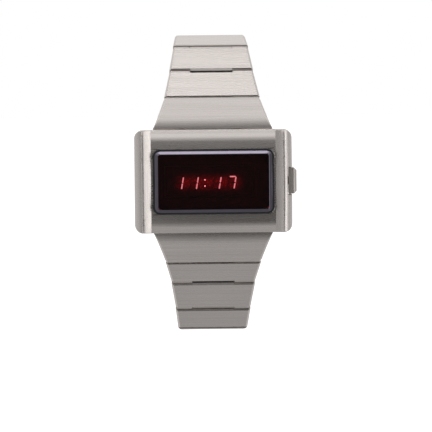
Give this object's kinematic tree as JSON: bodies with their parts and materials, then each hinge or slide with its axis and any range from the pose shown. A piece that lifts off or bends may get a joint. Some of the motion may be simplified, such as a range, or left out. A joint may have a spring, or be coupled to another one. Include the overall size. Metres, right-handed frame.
{
  "type": "led watch",
  "caption": "Digital wristwatch with a red light-emitting display in a wide brushed steel case, a side push-button and a tapering link bracelet with a folding clasp.",
  "frame": {"origin": "centre of the case back's flat outer face", "axes": "+Y out of the case back, into the wrist, so the dial faces -Y; +Z towards 12 o'clock; +X towards the push-button"},
  "size_m": [0.0422, 0.0519, 0.0791],
  "materials": {
    "case_steel": "satin",
    "link_steel": "satin",
    "clasp_steel": "satin",
    "blade_steel": "polished",
    "back_steel": "satin",
    "turned_steel": "turned",
    "spring_steel": "polished",
    "red_crystal": "polished",
    "seal_rubber": "matte",
    "mask_black": "matte",
    "carrier_ceramic": "matte",
    "lit_diode": "emissive",
    "dark_diode": "gloss",
    "board_laminate": "satin",
    "frame_plastic": "matte",
    "chip_ceramic": "matte",
    "trimmer_plastic": "satin"
  },
  "bodies": {
    "case": {"case_body": "case_steel", "case_back": "back_steel", "back_screws": "turned_steel", "back_seal": "seal_rubber", "crystal": "red_crystal", "crystal_gasket": "seal_rubber", "display_mask": "mask_black", "display_carrier": "carrier_ceramic", "lit_strokes": "lit_diode", "dark_strokes": "dark_diode", "circuit_board": "board_laminate", "driver_chip": "chip_ceramic", "timing_chip": "chip_ceramic", "quartz_can": "turned_steel", "trimmer": "trimmer_plastic", "switch_contact": "spring_steel", "module_frame": "frame_plastic", "battery_cells": "turned_steel", "battery_strap": "spring_steel", "button_bush": "turned_steel", "case_bars": "turned_steel", "button_spring": "spring_steel"},
    "button": {"push_button": "back_steel", "button_o_ring": "seal_rubber", "button_clip": "turned_steel"},
    "top_link_1": {"top_link_1": "link_steel"},
    "top_link_2": {"top_link_2": "link_steel", "top_pins_2": "turned_steel"},
    "top_link_3": {"top_link_3": "link_steel"},
    "top_link_4": {"top_link_4": "link_steel", "top_pins_4": "turned_steel"},
    "top_link_5": {"top_link_5": "link_steel"},
    "top_link_6": {"top_link_6": "link_steel", "top_pins_6": "turned_steel"},
    "top_link_7": {"top_link_7": "link_steel"},
    "top_link_8": {"top_link_8": "link_steel", "top_pins_8": "turned_steel"},
    "bottom_link_1": {"bottom_link_1": "link_steel"},
    "bottom_link_2": {"bottom_link_2": "link_steel", "bottom_pins_2": "turned_steel"},
    "bottom_link_3": {"bottom_link_3": "link_steel"},
    "bottom_link_4": {"bottom_link_4": "link_steel", "bottom_pins_4": "turned_steel"},
    "bottom_link_5": {"bottom_link_5": "link_steel"},
    "bottom_link_6": {"bottom_link_6": "link_steel", "bottom_pins_6": "turned_steel"},
    "bottom_link_7": {"bottom_link_7": "link_steel"},
    "bottom_link_8": {"bottom_link_8": "link_steel", "bottom_pins_8": "turned_steel"},
    "clasp_cover": {"clasp_cover": "clasp_steel", "cover_bar": "turned_steel", "cover_hinge_pin": "turned_steel"},
    "outer_blade": {"outer_blade": "blade_steel", "blade_fold_pin": "turned_steel"},
    "inner_blade": {"inner_blade": "blade_steel", "blade_bar": "turned_steel"}
  },
  "joints": [
    {"name": "button_press", "type": "slide", "parent": "case", "child": "button", "axis": [-1, 0, 0], "range_m": [0, 0.0005], "stiffness_N_per_m": 2500, "springref_m": -0.0003, "deforming": ["button_spring"]},
    {"name": "top_hinge_1", "type": "hinge", "parent": "case", "child": "top_link_1", "pos_m": [0, -0.0046, 0.01235], "axis": [1, 0, 0], "range_deg": [0, 19]},
    {"name": "top_hinge_2", "type": "hinge", "parent": "top_link_1", "child": "top_link_2", "pos_m": [0, -0.0003, 0.02116], "axis": [1, 0, 0], "range_deg": [0, 19]},
    {"name": "top_hinge_3", "type": "hinge", "parent": "top_link_2", "child": "top_link_3", "pos_m": [0, 0.00505, 0.02776], "axis": [1, 0, 0], "range_deg": [0, 10]},
    {"name": "top_hinge_4", "type": "hinge", "parent": "top_link_3", "child": "top_link_4", "pos_m": [0, 0.01084, 0.03398], "axis": [1, 0, 0], "range_deg": [0, 35]},
    {"name": "top_hinge_5", "type": "hinge", "parent": "top_link_4", "child": "top_link_5", "pos_m": [0, 0.01893, 0.03661], "axis": [1, 0, 0], "range_deg": [0, 38]},
    {"name": "top_hinge_6", "type": "hinge", "parent": "top_link_5", "child": "top_link_6", "pos_m": [0, 0.02717, 0.03455], "axis": [1, 0, 0], "range_deg": [0, 36]},
    {"name": "top_hinge_7", "type": "hinge", "parent": "top_link_6", "child": "top_link_7", "pos_m": [0, 0.03329, 0.02865], "axis": [1, 0, 0], "range_deg": [0, 30]},
    {"name": "top_hinge_8", "type": "hinge", "parent": "top_link_7", "child": "top_link_8", "pos_m": [0, 0.03647, 0.02077], "axis": [1, 0, 0], "range_deg": [0, 22]},
    {"name": "bottom_hinge_1", "type": "hinge", "parent": "case", "child": "bottom_link_1", "pos_m": [0, -0.0046, -0.01235], "axis": [-1, 0, 0], "range_deg": [0, 19]},
    {"name": "bottom_hinge_2", "type": "hinge", "parent": "bottom_link_1", "child": "bottom_link_2", "pos_m": [0, -0.0003, -0.02116], "axis": [-1, 0, 0], "range_deg": [0, 17]},
    {"name": "bottom_hinge_3", "type": "hinge", "parent": "bottom_link_2", "child": "bottom_link_3", "pos_m": [0, 0.00379, -0.02659], "axis": [-1, 0, 0], "range_deg": [0, 7]},
    {"name": "bottom_hinge_4", "type": "hinge", "parent": "bottom_link_3", "child": "bottom_link_4", "pos_m": [0, 0.00945, -0.03384], "axis": [-1, 0, 0], "range_deg": [0, 18]},
    {"name": "bottom_hinge_5", "type": "hinge", "parent": "bottom_link_4", "child": "bottom_link_5", "pos_m": [0, 0.01596, -0.0393], "axis": [-1, 0, 0], "range_deg": [0, 40]},
    {"name": "bottom_hinge_6", "type": "hinge", "parent": "bottom_link_5", "child": "bottom_link_6", "pos_m": [0, 0.02442, -0.04019], "axis": [-1, 0, 0], "range_deg": [0, 40]},
    {"name": "bottom_hinge_7", "type": "hinge", "parent": "bottom_link_6", "child": "bottom_link_7", "pos_m": [0, 0.03192, -0.0362], "axis": [-1, 0, 0], "range_deg": [0, 34]},
    {"name": "bottom_hinge_8", "type": "hinge", "parent": "bottom_link_7", "child": "bottom_link_8", "pos_m": [0, 0.03667, -0.02915], "axis": [-1, 0, 0], "range_deg": [0, 30]},
    {"name": "clasp_hinge", "type": "hinge", "parent": "top_link_8", "child": "clasp_cover", "pos_m": [0, 0.03736, 0.01231], "axis": [1, 0, 0], "range_deg": [0, 45]},
    {"name": "cover_hinge", "type": "hinge", "parent": "clasp_cover", "child": "outer_blade", "pos_m": [0, 0.03909, -0.01846], "axis": [1, 0, 0], "range_deg": [0, 105]},
    {"name": "blade_fold", "type": "hinge", "parent": "outer_blade", "child": "inner_blade", "pos_m": [0, 0.0375, 0.00971], "axis": [-1, 0, 0], "range_deg": [0, 110]}
  ]
}
